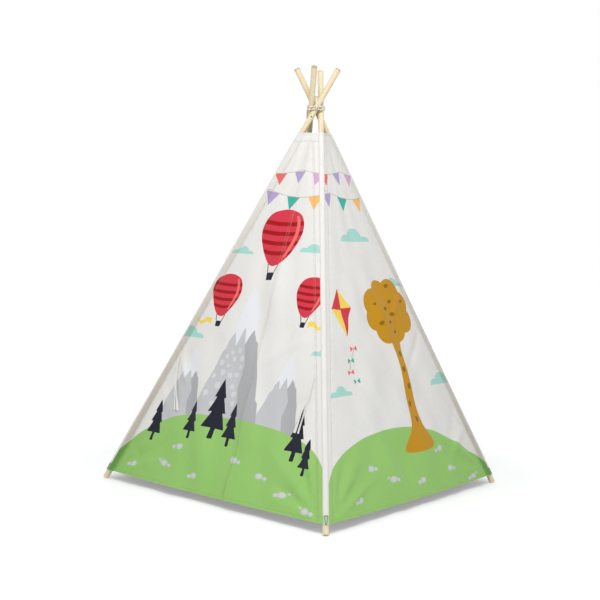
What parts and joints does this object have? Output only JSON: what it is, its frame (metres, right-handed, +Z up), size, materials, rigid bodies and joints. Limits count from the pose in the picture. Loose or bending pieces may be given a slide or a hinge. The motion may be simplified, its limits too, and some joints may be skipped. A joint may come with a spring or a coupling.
{
  "type": "kids teepee",
  "caption": "Children's play teepee: lashed wooden poles in a square pyramid, printed canvas cover with corner sleeves, and a split front door with ribbon ties.",
  "frame": {"origin": "on the floor, straight below the point where the poles cross", "axes": "+Z up, the door side faces -Y, +X to the right of someone who looks at the door"},
  "size_m": [1.1238, 1.1238, 1.5993],
  "materials": {
    "pine": "bare sanded pine, matt",
    "aluminium": "plain drawn tube, satin",
    "canvas": "white cotton canvas with a printed play scene",
    "green_canvas": "green cotton canvas",
    "white_tape": "white woven cotton tape",
    "cream_ribbon": "cream cotton ribbon",
    "cotton_rope": "off-white twisted cotton rope"
  },
  "bodies": {
    "lashing": {"lashing_rope": "cotton_rope", "bow_loop_left": "cotton_rope", "bow_loop_right": "cotton_rope", "bow_knot": "cotton_rope", "lashing_loop": "cotton_rope"},
    "pole_front_left": {"pole_lower_front_left": "pine", "pole_upper_front_left": "pine", "ferrule_front_left": "aluminium", "sleeve_front_left": "canvas", "corner_tape_front_left": "white_tape", "tape_tab_front_left": "green_canvas", "seam_strip_left": "canvas", "door_header_left": "canvas", "left_panel_front_half": "canvas"},
    "pole_front_right": {"pole_lower_front_right": "pine", "pole_upper_front_right": "pine", "ferrule_front_right": "aluminium", "sleeve_front_right": "canvas", "corner_tape_front_right": "white_tape", "tape_tab_front_right": "green_canvas", "seam_strip_right": "canvas", "door_header_right": "canvas", "right_panel_front_half": "canvas"},
    "pole_back_right": {"pole_lower_back_right": "pine", "pole_upper_back_right": "pine", "ferrule_back_right": "aluminium", "sleeve_back_right": "canvas", "corner_tape_back_right": "white_tape", "tape_tab_back_right": "green_canvas", "right_panel_back_half": "canvas", "back_panel_right_half": "canvas"},
    "pole_back_left": {"pole_lower_back_left": "pine", "pole_upper_back_left": "pine", "ferrule_back_left": "aluminium", "sleeve_back_left": "canvas", "corner_tape_back_left": "white_tape", "tape_tab_back_left": "green_canvas", "back_panel_left_half": "canvas", "left_panel_back_half": "canvas"},
    "door_left": {"door_flap_left": "canvas", "tie_left_under": "cream_ribbon", "tie_left_over": "cream_ribbon"},
    "door_right": {"door_flap_right": "canvas", "tie_right_under": "cream_ribbon", "tie_right_over": "cream_ribbon"}
  },
  "joints": [
    {"name": "fold_front_left", "type": "hinge", "parent": "lashing", "child": "pole_front_left", "pos_m": [0.01308, -0.01308, 1.447], "axis": [0.7071, -0.7071, 0], "range_deg": [0, 26], "deforming": ["door_flap_left", "door_flap_right", "seam_strip_left", "seam_strip_right", "door_header_left", "door_header_right", "right_panel_front_half", "right_panel_back_half", "back_panel_right_half", "back_panel_left_half", "left_panel_back_half", "left_panel_front_half", "tie_left_under", "tie_left_over", "tie_right_under", "tie_right_over"]},
    {"name": "fold_front_right", "type": "hinge", "parent": "lashing", "child": "pole_front_right", "pos_m": [0.01308, 0.01308, 1.447], "axis": [0.7071, 0.7071, 0], "range_deg": [0, 26]},
    {"name": "fold_back_right", "type": "hinge", "parent": "lashing", "child": "pole_back_right", "pos_m": [-0.01308, 0.01308, 1.447], "axis": [-0.7071, 0.7071, 0], "range_deg": [0, 26]},
    {"name": "fold_back_left", "type": "hinge", "parent": "lashing", "child": "pole_back_left", "pos_m": [-0.01308, -0.01308, 1.447], "axis": [-0.7071, -0.7071, 0], "range_deg": [0, 26]},
    {"name": "door_left_swing", "type": "hinge", "parent": "pole_front_left", "child": "door_left", "pos_m": [-0.48937, -0.55266, 0.03529], "axis": [-0.3286, -0.3343, -0.8833], "range_deg": [0, 110]},
    {"name": "door_right_swing", "type": "hinge", "parent": "pole_front_right", "child": "door_right", "pos_m": [0.51554, -0.52747, 0.03529], "axis": [-0.3297, 0.326, 0.886], "range_deg": [0, 110]}
  ],
  "couplings": [
    {"joint": "fold_front_right", "follows": "fold_front_left", "ratio": 1},
    {"joint": "fold_back_right", "follows": "fold_front_left", "ratio": 1},
    {"joint": "fold_back_left", "follows": "fold_front_left", "ratio": 1}
  ]
}
